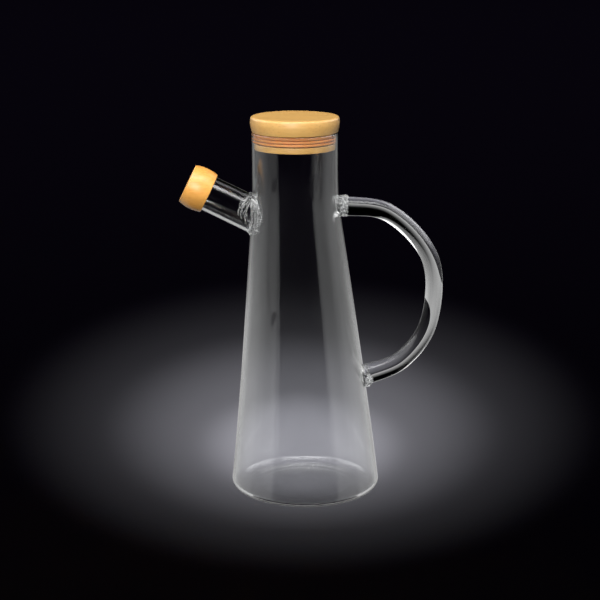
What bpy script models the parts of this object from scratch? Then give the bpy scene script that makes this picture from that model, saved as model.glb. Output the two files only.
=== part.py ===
"""Empty glass oil bottle: leaning cone body, capped spout, loop handle and bamboo lid.

Metres, +Z up. The origin is the middle of the flat underside. The spout points to -X and
the handle to +X, both in the plane Y = 0.
"""

import math

import bmesh
import bpy
import numpy as np
from mathutils import Matrix, Vector

# Glass body
RIM_HEIGHT = 0.2512
NECK_RADIUS = 0.0293
NECK_FOOT = 0.2037  # height where the straight cone would meet the straight neck
CONE_SLOPE = 0.1121  # radius lost per metre of height
NECK_BLEND = 0.0008  # softness of the bend between cone and neck
HEEL_RADIUS = 0.0060
INNER_HEEL_RADIUS = 0.0085
WALL = 0.0016
FLOOR = 0.0032
RIM_ROUNDING = 0.0007

# The blown body leans to the spout side: its circles shift as they rise
NECK_OFFSET = -0.00725
LEAN_TOP = 0.207
LEAN_POWER = 1.45
LEAN_LEVELLING = 16

# Spout tube, set into the neck's foot
SPOUT_ROOT = Vector((-0.0366, 0.0, 0.1951))
SPOUT_ANGLE = math.radians(25.9)  # above the horizontal
SPOUT_LENGTH = 0.0420
SPOUT_ROOT_RADIUS = 0.01235
SPOUT_TIP_RADIUS = 0.01200
SPOUT_BORE_RADIUS = 0.01045
SPOUT_INSIDE = 0.0120  # how far the tube's blank starts inside the neck
SPOUT_WELD_RADIUS = 0.0146
SPOUT_WELD_LENGTH = 0.0075

# Spout cap, a barrel of bamboo over the tube's end
CAP_LENGTH = 0.0163
CAP_START = 0.0322  # along the spout from its root
CAP_ROOT_RADIUS = 0.0140
CAP_TIP_RADIUS = 0.0137
CAP_BULGE = 0.0011
CAP_EDGE = 0.0004
CAP_BORE_RADIUS = 0.0124
CAP_BORE_DEPTH = 0.0101

# Loop handle, a bent rod: its route as (x, z) knots, from the upper end to the lower
HANDLE_KNOTS = (
    (0.0215, 0.2013),
    (0.0573, 0.1955),
    (0.0858, 0.1636),
    (0.0855, 0.1196),
    (0.0672, 0.0921),
    (0.0395, 0.0801),
)
HANDLE_STEPS = 5
HANDLE_RADIUS = 0.0059
HANDLE_UPPER_SWELL = 1.13
HANDLE_LOWER_SWELL = 1.22

# Beads of glass that fuse the handle's ends to the body
BEAD_RADIUS = 0.0074
BEAD_REACH = 0.0066
BEAD_INSIDE = 0.0030
UPPER_BEAD = Vector((0.0229, 0.0, 0.2007))
LOWER_BEAD = Vector((0.0409, 0.0, 0.0809))
LOWER_BEAD_ANGLE = math.radians(-16)  # turn of the lower end from straight out

# Lid of bamboo: a disc over the rim, and a grooved plug in the neck
LID_TOP = 0.2620
LID_BOTTOM = 0.2515
LID_TOP_RADIUS = 0.0288
LID_RADIUS = 0.0302
LID_FOOT_RADIUS = 0.0292
LID_EDGE = 0.0018
GROOVE_TOP = 0.2511
GROOVE_BOTTOM = 0.2442
GROOVE_RADIUS = 0.0235
PLUG_BOTTOM = 0.2400
PLUG_RADIUS = 0.0273
PLUG_EDGE = 0.0005

# Silicone seal in the groove, with ridges towards the glass
SEAL_RADIUS = 0.0273
SEAL_RIDGES = 3
SEAL_RIDGE_DEPTH = 0.0007

GAP = 0.0003  # room between pieces that touch
BODY_STEPS = 48
LID_STEPS = 48
SEAL_STEPS = 40
CAP_STEPS = 32
TUBE_STEPS = 32
MERGE_DISTANCE = 0.00001
SMOOTH_ANGLE = math.radians(35)


def clear_scene():
    """Remove every object, so the model starts from nothing."""
    for old in list(bpy.data.objects):
        bpy.data.objects.remove(old, do_unlink=True)


def new_collection(name):
    group = bpy.data.collections.new(name)
    bpy.context.scene.collection.children.link(group)
    return group


def new_material(name, colour, roughness, transmission=0.0):
    """A Principled BSDF with the piece's colour, as linear red, green and blue."""
    material = bpy.data.materials.new(name)
    material.use_nodes = True
    shader = material.node_tree.nodes["Principled BSDF"]
    shader.inputs["Base Color"].default_value = (*colour, 1.0)
    shader.inputs["Roughness"].default_value = roughness
    shader.inputs["Metallic"].default_value = 0.0
    shader.inputs["Transmission Weight"].default_value = transmission
    shader.inputs["IOR"].default_value = 1.47
    material.diffuse_color = (*colour, 1.0)
    return material


def body_radius(height):
    """Outer radius of the body: a straight cone that bends softly into a straight neck."""
    rise = CONE_SLOPE * (NECK_FOOT - height)
    return NECK_RADIUS + 0.5 * (rise + math.hypot(rise, NECK_BLEND))


def lean(height):
    """Shift of the body's circles along X: a power of the height that levels off."""
    share = max(height, 0.0) / LEAN_TOP
    levelled = (1.0 + share**LEAN_LEVELLING) ** (-LEAN_POWER / LEAN_LEVELLING)
    return NECK_OFFSET * share**LEAN_POWER * levelled


def arc(centre, radius, start, end, steps):
    """Points (r, z) on a round stretch, from one angle to another."""
    angles = (start + (end - start) * i / steps for i in range(steps + 1))
    return [(centre[0] + radius * math.cos(a), centre[1] + radius * math.sin(a)) for a in angles]


def wall_heights(low, high):
    """Heights from high to low, closer together round the bend at the neck's foot."""
    bend = [NECK_FOOT + offset for offset in (0.022, 0.012, 0.004, -0.004, -0.012, -0.026)]
    cone = [low + (bend[-1] - low) * share for share in (0.8, 0.6, 0.4, 0.2, 0.0)]
    return [high] + bend + cone


def heel_and_wall(thickness, foot, heel_radius, top):
    """One face of the wall, thickness inside the outline, down into its round heel."""
    slope = math.atan(CONE_SLOPE)
    tangent = foot + heel_radius * (1.0 + math.sin(slope))
    centre_r = body_radius(tangent) - thickness - heel_radius * math.cos(slope)
    wall = [(body_radius(z) - thickness, z) for z in wall_heights(tangent, top)]
    heel = arc((centre_r, foot + heel_radius), heel_radius, slope, -math.pi / 2, 5)
    return wall[:-1] + heel


def turned(name, profile, steps, collection):
    """Turn a profile of (r, z) points round Z; it runs down the outer side."""
    mesh = bpy.data.meshes.new(name)
    points = [(r, 0.0, z) for r, z in profile]
    mesh.from_pydata(points, [(i, i + 1) for i in range(len(points) - 1)], [])
    piece = bpy.data.objects.new(name, mesh)
    collection.objects.link(piece)
    screw = piece.modifiers.new("Turn", "SCREW")
    screw.axis = "Z"
    screw.angle = 2.0 * math.pi
    screw.steps = steps
    screw.render_steps = steps
    screw.use_merge_vertices = True
    screw.merge_threshold = MERGE_DISTANCE
    screw.use_smooth_shade = True
    return piece


def evaluated_mesh(source):
    """The mesh that an object's modifiers or curve settings make."""
    bpy.context.view_layer.update()
    seen = source.evaluated_get(bpy.context.evaluated_depsgraph_get())
    return bpy.data.meshes.new_from_object(seen)


def made_solid(source, collection):
    """Swap a curve or a turned piece for its plain mesh, with loose caps welded."""
    mesh = evaluated_mesh(source)
    work = bmesh.new()
    work.from_mesh(mesh)
    bmesh.ops.remove_doubles(work, verts=work.verts, dist=MERGE_DISTANCE)
    work.to_mesh(mesh)
    work.free()
    name = source.name
    source.name = name + "_source"
    solid = bpy.data.objects.new(name, mesh)
    solid.matrix_world = source.matrix_world
    collection.objects.link(solid)
    bpy.data.objects.remove(source, do_unlink=True)
    return solid


def leaning(piece, collection):
    """Shift each point of a turned piece sideways by the lean at its height."""
    solid = made_solid(piece, collection)
    for vertex in solid.data.vertices:
        vertex.co.x += lean(vertex.co.z)
    return solid


def cone_between(name, start, end, start_radius, end_radius, steps, collection):
    """A closed straight tube blank from one point to another."""
    span = end - start
    work = bmesh.new()
    turn = span.to_track_quat("Z", "Y").to_matrix().to_4x4()
    place = Matrix.Translation((start + end) / 2) @ turn
    bmesh.ops.create_cone(
        work,
        cap_ends=True,
        segments=steps,
        radius1=start_radius,
        radius2=end_radius,
        depth=span.length,
        matrix=place,
    )
    mesh = bpy.data.meshes.new(name)
    work.to_mesh(mesh)
    work.free()
    piece = bpy.data.objects.new(name, mesh)
    collection.objects.link(piece)
    return piece


def smooth_route(knots, steps):
    """Catmull-Rom curve through the knots, carried straight on at both ends."""
    points = np.array(knots)
    padded = np.vstack([2 * points[0] - points[1], points, 2 * points[-1] - points[-2]])
    share = np.linspace(0.0, 1.0, steps, endpoint=False)[:, None]
    route = []
    for a, b, c, d in zip(padded, padded[1:], padded[2:], padded[3:]):
        bend = (2 * a - 5 * b + 4 * c - d) * share**2 + (3 * b - a - 3 * c + d) * share**3
        route.append(0.5 * (2 * b + (c - a) * share + bend))
    return np.vstack(route + [points[-1]])


def handle_swell(share):
    """Thickness of the rod along its length, against its middle: both ends are fatter."""
    upper = (HANDLE_UPPER_SWELL - 1.0) * max(0.0, 1.0 - 2.0 * share) ** 2
    lower = (HANDLE_LOWER_SWELL - 1.0) * max(0.0, 2.0 * share - 1.0) ** 2
    return 1.0 + upper + lower


def handle_rod(collection):
    """The bent rod, as a curve with a round section."""
    route = smooth_route(HANDLE_KNOTS, HANDLE_STEPS)
    curve = bpy.data.curves.new("handle_rod", "CURVE")
    curve.dimensions = "3D"
    curve.bevel_depth = HANDLE_RADIUS
    curve.bevel_resolution = 4
    curve.use_fill_caps = True
    spline = curve.splines.new("POLY")
    spline.points.add(len(route) - 1)
    for index, (point, (x, z)) in enumerate(zip(spline.points, route)):
        point.co = (x, 0.0, z, 1.0)
        point.radius = handle_swell(index / (len(route) - 1))
    rod = bpy.data.objects.new("handle_rod", curve)
    collection.objects.link(rod)
    return made_solid(rod, collection)


def weld_bead(name, place, angle, collection):
    """A short round bead of glass where the rod meets the body."""
    reach, radius = BEAD_REACH, BEAD_RADIUS
    profile = [(0.0, reach), (radius * 0.70, reach * 0.98), (radius * 0.93, reach * 0.80)]
    profile += [(radius, reach * 0.45), (radius, -BEAD_INSIDE), (0.0, -BEAD_INSIDE)]
    bead = turned(name, profile, 20, collection)
    bead.location = place
    bead.rotation_euler = (0.0, math.pi / 2 - angle, 0.0)
    bpy.context.view_layer.update()
    return made_solid(bead, collection)


def along_spout(distance):
    """The point on the spout's axis at a distance from its root."""
    direction = Vector((-math.cos(SPOUT_ANGLE), 0.0, math.sin(SPOUT_ANGLE)))
    return SPOUT_ROOT + direction * distance


def add_boolean(target, other, operation):
    """Join to or cut from a piece, and hide the shape that does it."""
    step = target.modifiers.new(other.name, "BOOLEAN")
    step.operation = operation
    step.solver = "EXACT"
    step.object = other
    other.hide_render = True
    other.display_type = "WIRE"


def glass_body(parts, cutters, glass):
    """The blown wall with its spout, handle and weld beads fused on: one hollow solid."""
    edge = RIM_ROUNDING
    shoulder = heel_and_wall(0.0, 0.0, HEEL_RADIUS, RIM_HEIGHT - edge)
    rim = arc((NECK_RADIUS - edge, RIM_HEIGHT - edge), edge, math.pi / 2, math.pi / 4, 1)
    outline = [(0.0, RIM_HEIGHT)] + rim + shoulder + [(0.0, 0.0)]
    body = leaning(turned("glass_body", outline, BODY_STEPS, parts), parts)

    above = RIM_HEIGHT + 4.0 * edge
    mouth = NECK_RADIUS - WALL
    hollow = [(0.0, above), (mouth + edge, above), (mouth + edge, RIM_HEIGHT)]
    hollow += heel_and_wall(WALL, FLOOR, INNER_HEEL_RADIUS, RIM_HEIGHT - edge)
    hollow += [(0.0, FLOOR)]
    cavity = leaning(turned("cavity", hollow, BODY_STEPS, cutters), cutters)

    tube_ends = (along_spout(-SPOUT_INSIDE), along_spout(SPOUT_LENGTH))
    tube_radii = (SPOUT_ROOT_RADIUS, SPOUT_TIP_RADIUS)
    tube = cone_between("spout_tube", *tube_ends, *tube_radii, TUBE_STEPS, cutters)
    weld_ends = (along_spout(-SPOUT_INSIDE / 2), along_spout(SPOUT_WELD_LENGTH))
    weld_radii = (SPOUT_WELD_RADIUS, SPOUT_ROOT_RADIUS)
    weld = cone_between("spout_weld", *weld_ends, *weld_radii, TUBE_STEPS, cutters)
    bore_ends = (along_spout(-SPOUT_INSIDE), along_spout(SPOUT_LENGTH + SPOUT_INSIDE))
    bore_radii = (SPOUT_BORE_RADIUS, SPOUT_BORE_RADIUS)
    bore = cone_between("spout_bore", *bore_ends, *bore_radii, TUBE_STEPS, cutters)

    joined = [tube, weld, handle_rod(cutters)]
    joined.append(weld_bead("upper_bead", UPPER_BEAD, 0.0, cutters))
    joined.append(weld_bead("lower_bead", LOWER_BEAD, -LOWER_BEAD_ANGLE, cutters))
    for piece in joined:
        add_boolean(body, piece, "UNION")
    for cutter in (cavity, bore):
        add_boolean(body, cutter, "DIFFERENCE")
    body.data.materials.append(glass)
    return body


def bamboo_lid(parts, bamboo):
    """Disc over the rim and grooved plug in the neck, turned from one piece."""
    widest = LID_BOTTOM + 0.58 * (LID_TOP - LID_BOTTOM)
    edge = arc((LID_TOP_RADIUS - LID_EDGE / 3, LID_TOP - LID_EDGE), LID_EDGE, math.pi / 2, 0.2, 4)
    disc = [(0.0, LID_TOP)] + edge + [(LID_RADIUS, widest), (LID_FOOT_RADIUS, LID_BOTTOM)]
    groove = [(GROOVE_RADIUS, LID_BOTTOM), (GROOVE_RADIUS, GROOVE_BOTTOM)]
    plug = [(PLUG_RADIUS - PLUG_EDGE, GROOVE_BOTTOM), (PLUG_RADIUS, GROOVE_BOTTOM - PLUG_EDGE)]
    plug += [(PLUG_RADIUS, PLUG_BOTTOM + PLUG_EDGE), (PLUG_RADIUS - PLUG_EDGE, PLUG_BOTTOM)]
    lid = turned("lid", disc + groove + plug + [(0.0, PLUG_BOTTOM)], LID_STEPS, parts)
    lid.location.x = NECK_OFFSET
    lid.data.materials.append(bamboo)
    return lid


def silicone_seal(parts, silicone):
    """Ring in the plug's groove, ridged like a row of lips where it meets the neck."""
    top = GROOVE_TOP - GAP
    bottom = GROOVE_BOTTOM + GAP
    inner = GROOVE_RADIUS + GAP
    pitch = (top - bottom) / SEAL_RIDGES
    outline = [(inner, top)]
    for ridge in range(SEAL_RIDGES):
        crest = top - pitch * (ridge + 0.5)
        outline.append((SEAL_RADIUS - SEAL_RIDGE_DEPTH, crest + 0.45 * pitch))
        outline.append((SEAL_RADIUS, crest))
        outline.append((SEAL_RADIUS - SEAL_RIDGE_DEPTH, crest - 0.45 * pitch))
    outline += [(inner, bottom), (inner, top)]
    seal = turned("lid_seal", outline, SEAL_STEPS, parts)
    weld = seal.modifiers.new("Close", "WELD")
    weld.merge_threshold = MERGE_DISTANCE
    seal.location.x = NECK_OFFSET
    seal.data.materials.append(silicone)
    return seal


def spout_cap(parts, bamboo):
    """Barrel-shaped cap with a blind bore, which the spout's end sits in."""
    outline = [(0.0, CAP_LENGTH), (CAP_TIP_RADIUS - CAP_EDGE, CAP_LENGTH)]
    for share in (0.0, 0.25, 0.5, 0.75, 1.0):
        height = CAP_LENGTH - CAP_EDGE - share * (CAP_LENGTH - 2 * CAP_EDGE)
        straight = CAP_TIP_RADIUS + share * (CAP_ROOT_RADIUS - CAP_TIP_RADIUS)
        outline.append((straight + CAP_BULGE * 4 * share * (1 - share), height))
    outline += [(CAP_ROOT_RADIUS - CAP_EDGE, 0.0), (CAP_BORE_RADIUS, 0.0)]
    outline += [(CAP_BORE_RADIUS, CAP_BORE_DEPTH), (0.0, CAP_BORE_DEPTH)]
    cap = turned("spout_cap", outline, CAP_STEPS, parts)
    cap.location = along_spout(CAP_START)
    cap.rotation_euler = (0.0, SPOUT_ANGLE - math.pi / 2, 0.0)
    cap.data.materials.append(bamboo)
    return cap


def main():
    clear_scene()
    parts = new_collection("oil_bottle")
    cutters = new_collection("cutters")
    glass = new_material("borosilicate_glass", (0.93, 0.95, 0.96), 0.02, 1.0)
    bamboo = new_material("lid_bamboo", (0.66, 0.42, 0.15), 0.45)
    cap_bamboo = new_material("cap_bamboo", (0.85, 0.45, 0.12), 0.40)
    silicone = new_material("seal_silicone", (0.80, 0.42, 0.25), 0.35)
    glass_body(parts, cutters, glass)
    bamboo_lid(parts, bamboo)
    silicone_seal(parts, silicone)
    spout_cap(parts, cap_bamboo)


main()
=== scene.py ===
"""Looks of an empty glass oil bottle: blown glass, bamboo lid and cap, silicone seal.

Metres, +Z up. The origin is the middle of the underside, the spout points to -X and the
handle to +X. Every surface is worked out from a few sizes with numpy.
"""

import bpy
import numpy as np
from bpy.props import FloatProperty, FloatVectorProperty, PointerProperty
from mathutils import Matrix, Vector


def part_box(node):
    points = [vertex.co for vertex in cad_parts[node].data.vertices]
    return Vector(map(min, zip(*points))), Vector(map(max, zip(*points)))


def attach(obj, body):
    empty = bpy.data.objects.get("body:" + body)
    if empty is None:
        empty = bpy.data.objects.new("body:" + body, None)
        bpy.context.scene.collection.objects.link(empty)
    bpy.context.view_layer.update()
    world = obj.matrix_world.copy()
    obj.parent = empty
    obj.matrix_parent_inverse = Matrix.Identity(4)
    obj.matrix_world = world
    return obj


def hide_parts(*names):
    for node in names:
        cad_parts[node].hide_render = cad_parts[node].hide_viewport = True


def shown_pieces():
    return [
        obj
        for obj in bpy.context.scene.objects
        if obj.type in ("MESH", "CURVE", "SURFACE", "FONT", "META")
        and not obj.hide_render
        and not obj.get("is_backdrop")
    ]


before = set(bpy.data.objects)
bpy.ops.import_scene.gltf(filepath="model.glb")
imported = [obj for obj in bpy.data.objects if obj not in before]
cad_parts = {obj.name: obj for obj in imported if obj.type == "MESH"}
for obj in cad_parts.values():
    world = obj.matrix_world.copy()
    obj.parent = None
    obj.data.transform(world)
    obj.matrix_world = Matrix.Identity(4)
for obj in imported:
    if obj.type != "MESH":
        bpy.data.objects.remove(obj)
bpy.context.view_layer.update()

bl_info = {
    "name": "Glass Oil Bottle",
    "version": (1, 0, 0),
    "blender": (4, 5, 0),
    "location": "View3D > Sidebar > Oil Bottle",
    "description": "Builds a blown glass oil bottle with a bamboo lid and cap, and its studio",
    "category": "Object",
}

MM = 0.001

# Body: straight cone below, straight neck above, a round heel
RIM_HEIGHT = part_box("glass_body")[1].z
NECK_RADIUS = 29.3 * MM
NECK_FOOT = 203.7 * MM
CONE_SLOPE = 0.1121
NECK_BLEND = 0.8 * MM
HEEL_REACH = 9.0 * MM
HEEL_HEIGHT = 6.3 * MM
FILLET_REACH = 7.4 * MM
FILLET_HEIGHT = 4.6 * MM
RIM_EDGE = 0.75 * MM
CONTACT_RADIUS = 41.0 * MM
PUNT_EDGE = 31.0 * MM
PUNT_RISE = 0.5 * MM
PUNT_CROWN = 2.0 * MM

# The blown body's circles shift towards the spout as they rise
NECK_OFFSET = -7.25 * MM
LEAN_TOP = 207.0 * MM
LEAN_POWER = 1.45
LEAN_LEVELLING = 16

# Spout: axis through a root point, rising towards -X
SPOUT_ROOT = np.array([-36.6, 0.0, 195.1]) * MM
SPOUT_RISE = np.radians(25.9)
SPOUT_AXIS = np.array([-np.cos(SPOUT_RISE), 0.0, np.sin(SPOUT_RISE)])
SPOUT_UP = np.array([np.sin(SPOUT_RISE), 0.0, np.cos(SPOUT_RISE)])
ACROSS = np.array([0.0, 1.0, 0.0])
SPOUT_LENGTH = 42.0 * MM
SPOUT_ROOT_RADIUS = 12.35 * MM
SPOUT_TIP_RADIUS = 12.0 * MM
BORE_RADIUS = 10.45 * MM

# Cap over the spout's end
CAP_START = 32.2 * MM
CAP_LENGTH = 16.3 * MM
CAP_ROOT_RADIUS = 14.0 * MM
CAP_TIP_RADIUS = 13.7 * MM
CAP_BULGE = 1.1 * MM
CAP_EDGE = 0.7 * MM
CAP_BORE_RADIUS = 12.4 * MM
CAP_BORE_DEPTH = 10.1 * MM

# Handle rod: knots of its middle line
HANDLE_KNOTS = MM * np.array(
    [
        (21.5, 0.0, 201.3),
        (57.3, 0.0, 195.5),
        (85.8, 0.0, 163.6),
        (85.5, 0.0, 119.6),
        (67.2, 0.0, 92.1),
        (39.5, 0.0, 80.1),
    ]
)
HANDLE_UPPER_SWELL = 0.13
HANDLE_LOWER_SWELL = 0.22
UPPER_WELD = np.array([22.9, 0.0, 200.7]) * MM
LOWER_WELD = np.array([40.9, 0.0, 80.9]) * MM
LOWER_WELD_DROP = np.radians(-16)
WELD_RADIUS = 7.3 * MM
WELD_REACH = 6.4 * MM
WELD_INSIDE = 3.0 * MM

# Strands drawn over the spout's weld: radius at the start and the end, then knots, in mm
STRANDS = [
    (1.6, 1.1, [(-37.4, 0.6, 208.6), (-37.3, -3.0, 208.0), (-36.9, -6.5, 206.3)]),
    (
        0.9,
        0.8,
        [(-37.1, -4.5, 207.9), (-36.6, -9.4, 203.7), (-36.3, -11.9, 198.0), (-36.0, -12.0, 192.5)]
        + [(-35.6, -10.9, 187.0)],
    ),
    (
        0.9,
        0.8,
        [(-35.3, -7.7, 207.1), (-34.4, -10.9, 202.6), (-34.0, -12.7, 197.4), (-33.9, -13.5, 192.1)]
        + [(-34.8, -12.3, 187.1)],
    ),
    (0.5, 0.4, [(-32.8, -14.0, 207.3), (-32.3, -15.3, 202.0), (-32.4, -15.6, 196.6), (-33.0, -15.2, 192.4)]),
    (
        1.0,
        0.6,
        [(-37.6, -4.3, 208.2), (-40.0, -8.6, 206.3), (-42.3, -11.0, 203.6), (-44.1, -11.9, 201.4)]
        + [(-45.4, -12.2, 199.1), (-45.2, -11.9, 196.0)],
    ),
    (
        0.6,
        0.45,
        [(-38.9, -9.5, 204.7), (-41.3, -11.1, 203.0), (-43.0, -11.9, 200.5), (-43.8, -12.1, 197.3)]
        + [(-43.3, -11.6, 193.4)],
    ),
    (
        0.55,
        0.45,
        [(-38.3, -10.3, 203.1), (-39.9, -11.9, 199.4), (-41.0, -12.1, 195.6), (-40.7, -11.4, 192.4)]
        + [(-40.1, -10.6, 190.2)],
    ),
    (0.45, 0.35, [(-37.8, -9.3, 204.3), (-39.3, -11.2, 201.6), (-41.7, -12.1, 198.4), (-42.3, -12.1, 196.3)]),
    (0.9, 0.5, [(-35.1, -11.7, 188.6), (-35.2, -11.6, 186.5), (-35.4, -11.5, 184.3)]),
    (0.6, 0.45, [(-34.7, -12.6, 187.1), (-32.4, -17.0, 186.3), (-30.4, -19.8, 186.1)]),
]

# Lid: disc over the rim, grooved plug in the neck
LID_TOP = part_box("lid")[1].z
LID_BOTTOM = 251.5 * MM
LID_TOP_RADIUS = 28.8 * MM
LID_RADIUS = 30.2 * MM
LID_FOOT_RADIUS = 29.2 * MM
LID_EDGE = 1.8 * MM
GROOVE_TOP = 251.1 * MM
GROOVE_BOTTOM = 244.2 * MM
GROOVE_RADIUS = 23.5 * MM
PLUG_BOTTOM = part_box("lid")[0].z
PLUG_RADIUS = 27.3 * MM
PLUG_EDGE = 0.6 * MM
SEAL_RADIUS = 27.78 * MM
SEAL_ROOT = 26.4 * MM
SEAL_LIPS = 3
GAP = 0.3 * MM

FULL_TURN = 2.0 * np.pi

# The floor keeps clear of the underside, so that no two faces share a plane
FLOOR_DROP = -0.1 * MM

# Curved screen: its grey levels by azimuth in degrees, low down, beside the bottle and above
SCREEN_RADIUS = 0.5
SCREEN_LOW = -0.5
SCREEN_HIGH = 0.9
SCREEN_STRENGTH = 4.0
SCREEN_LEVELS = [
    (
        [(0, 0.0), (49, 0.0), (50.5, 0.155), (88, 0.155), (90, 0.225), (150, 0.1), (165, 0.13), (180, 0.13)],
        0.0,
        0.0,
    ),
    (
        [(0, 0.0), (49, 0.0), (50.5, 0.058), (88, 0.058), (90, 0.112), (155, 0.035), (159, 0.0)],
        -0.05,
        0.15,
    ),
    ([(0, 0.0), (25, 0.0), (50, 0.5), (125, 0.9), (150, 0.1), (160, 0.0)], 0.27, 0.36),
]

# Three nested spots make the pool on the floor: aim, full angle in degrees, watts
POOL_PLACE = (0.0, -0.0089, 0.6464)
POOL_STRETCH = 1.576
POOL_SPOTS = [
    ((-0.002, 0.0953, 0.0), 15.1, 4.08),
    ((-0.002, 0.1475, 0.0), 27.8, 2.46),
    ((-0.002, 0.182, 0.0), 40.9, 1.01),
]


class GlassSettings(bpy.types.PropertyGroup):
    wall: FloatProperty(
        name="Wall", description="Thickness of the blown wall", default=1.6 * MM, unit="LENGTH"
    )
    floor: FloatProperty(
        name="Floor", description="Thickness of the bottom", default=1.7 * MM, unit="LENGTH"
    )
    rod: FloatProperty(
        name="Handle rod", description="Radius of the handle", default=5.9 * MM, unit="LENGTH"
    )
    wrinkle: FloatProperty(
        name="Weld wrinkles",
        description="Height of the wrinkles on the fused glass",
        default=0.55 * MM,
        unit="LENGTH",
    )
    tint: FloatVectorProperty(
        name="Tint", description="Colour of the glass", subtype="COLOR", default=(0.985, 0.99, 0.99)
    )


class BambooSettings(bpy.types.PropertyGroup):
    lid: FloatVectorProperty(
        name="Lid", description="Main colour of the lid", subtype="COLOR", default=(0.72, 0.42, 0.13)
    )
    cap: FloatVectorProperty(
        name="Cap", description="Main colour of the cap", subtype="COLOR", default=(0.9, 0.42, 0.09)
    )
    fibre: FloatProperty(
        name="Fibre", description="Width of one fibre bundle", default=0.6 * MM, unit="LENGTH"
    )


class SealSettings(bpy.types.PropertyGroup):
    colour: FloatVectorProperty(
        name="Silicone", description="Colour of the seal", subtype="COLOR", default=(0.7, 0.3, 0.1)
    )
    contact: FloatProperty(
        name="Contact", description="Radius that presses on the glass", default=SEAL_RADIUS, unit="LENGTH"
    )


class StudioSettings(bpy.types.PropertyGroup):
    floor: FloatVectorProperty(
        name="Floor", description="Colour of the floor", subtype="COLOR", default=(0.8, 0.8, 0.82)
    )
    pool: FloatProperty(name="Pool", description="Brightness of the light on the floor", default=1.0)
    key: FloatProperty(name="Key", description="Brightness of the main soft light", default=1.0)


def linear(code):
    """Linear red, green and blue of an sRGB hex colour such as #D9A25A."""
    srgb = np.array([int(code[i : i + 2], 16) for i in (1, 3, 5)]) / 255.0
    channels = np.where(srgb <= 0.04045, srgb / 12.92, ((srgb + 0.055) / 1.055) ** 2.4)
    return (*channels, 1.0)


def body_radius(height):
    """Outer radius: the neck's radius plus the positive part, softly bent, of a straight rise."""
    rise = CONE_SLOPE * (NECK_FOOT - height)
    return NECK_RADIUS + 0.5 * (rise + np.hypot(rise, NECK_BLEND))


def lean(height):
    """Shift along X: a power of the height's share that levels off at the neck's foot."""
    share = np.maximum(height, 0.0) / LEAN_TOP
    levelled = (1.0 + share**LEAN_LEVELLING) ** (-LEAN_POWER / LEAN_LEVELLING)
    return NECK_OFFSET * share**LEAN_POWER * levelled


def step(low, high, value):
    """Smooth step from 0 at low to 1 at high: three squares less two cubes of the share."""
    share = np.clip((value - low) / (high - low), 0.0, 1.0)
    return share * share * (3.0 - 2.0 * share)


def waves(points, wavelength, seed, count=14):
    """Smooth noise near -1 to 1: the mean of sine waves that run in random directions."""
    draw = np.random.default_rng(seed)
    directions = draw.normal(size=(count, 3))
    directions /= np.linalg.norm(directions, axis=1, keepdims=True)
    pitch = draw.uniform(0.7, 1.4, count) * FULL_TURN / wavelength
    phase = draw.uniform(0.0, FULL_TURN, count)
    total = np.sin(points @ (directions * pitch[:, None]).T + phase).sum(axis=-1)
    return total * np.sqrt(2.0 / count) / 1.6


def folds(points, wavelength, seed):
    """Creases between 0 and 1: one less the size of the smooth noise, squared."""
    return (1.0 - np.minimum(np.abs(waves(points, wavelength, seed)), 1.0)) ** 2


def arc(centre, radii, start, end, count):
    """Points (r, z) on an elliptic stretch about a centre, from one angle to another."""
    angle = np.linspace(start, end, count)
    return np.stack([centre[0] + radii[0] * np.cos(angle), centre[1] + radii[1] * np.sin(angle)], 1)


def straight(start, end, count):
    """Points (r, z) spread evenly between two points, without the last one."""
    share = np.linspace(0.0, 1.0, count, endpoint=False)[:, None]
    return np.array(start) * (1.0 - share) + np.array(end) * share


def turned(profile, steps, shift=lambda height: 0.0 * height):
    """Rings (x, y, z) = (r cos a + shift(z), r sin a, z) for each point (r, z) and angle a."""
    angle = np.linspace(0.0, FULL_TURN, steps, endpoint=False)
    radius, height = profile[:, :1], profile[:, 1:]
    rings = np.empty((len(profile), steps, 3))
    rings[..., 0] = radius * np.cos(angle) + shift(height)
    rings[..., 1] = radius * np.sin(angle)
    rings[..., 2] = height
    return rings


def volume(points, triangles):
    """Signed volume: a sixth of the sum of each triangle's triple product with the origin."""
    a, b, c = (points[triangles[:, k]] for k in range(3))
    return np.einsum("ij,ij->i", a, np.cross(b, c)).sum() / 6.0


def lofted(name, rings, closed=False):
    """Object whose faces join each ring of points to the next, with its faces outwards.

    A closed loft joins its last ring to its first. An open one ends in a fan of triangles
    round the middle of each end ring.
    """
    count, around, _ = rings.shape
    index = np.arange(count * around).reshape(count, around)
    first = index if closed else index[:-1]
    second = np.roll(index, -1, axis=0) if closed else index[1:]
    quads = np.stack(
        [first, np.roll(first, -1, axis=1), np.roll(second, -1, axis=1), second], axis=-1
    ).reshape(-1, 4)
    points = rings.reshape(-1, 3)
    triangles = np.empty((0, 3), int)
    if not closed:
        points = np.vstack([points, rings[0].mean(axis=0), rings[-1].mean(axis=0)])
        start, end = index[0], index[-1]
        low = np.stack([np.full(around, len(points) - 2), np.roll(start, -1), start], axis=1)
        high = np.stack([np.full(around, len(points) - 1), end, np.roll(end, -1)], axis=1)
        triangles = np.vstack([low, high])
    whole = np.vstack([quads[:, :3], quads[:, [0, 2, 3]], triangles])
    if volume(points, whole) < 0.0:
        quads, triangles = quads[:, ::-1], triangles[:, ::-1]
    mesh = bpy.data.meshes.new(name)
    mesh.from_pydata(points.tolist(), [], quads.tolist() + triangles.tolist())
    mesh.shade_smooth()
    mesh.update()
    piece = bpy.data.objects.new(name, mesh)
    bpy.context.scene.collection.objects.link(piece)
    return piece


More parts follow.
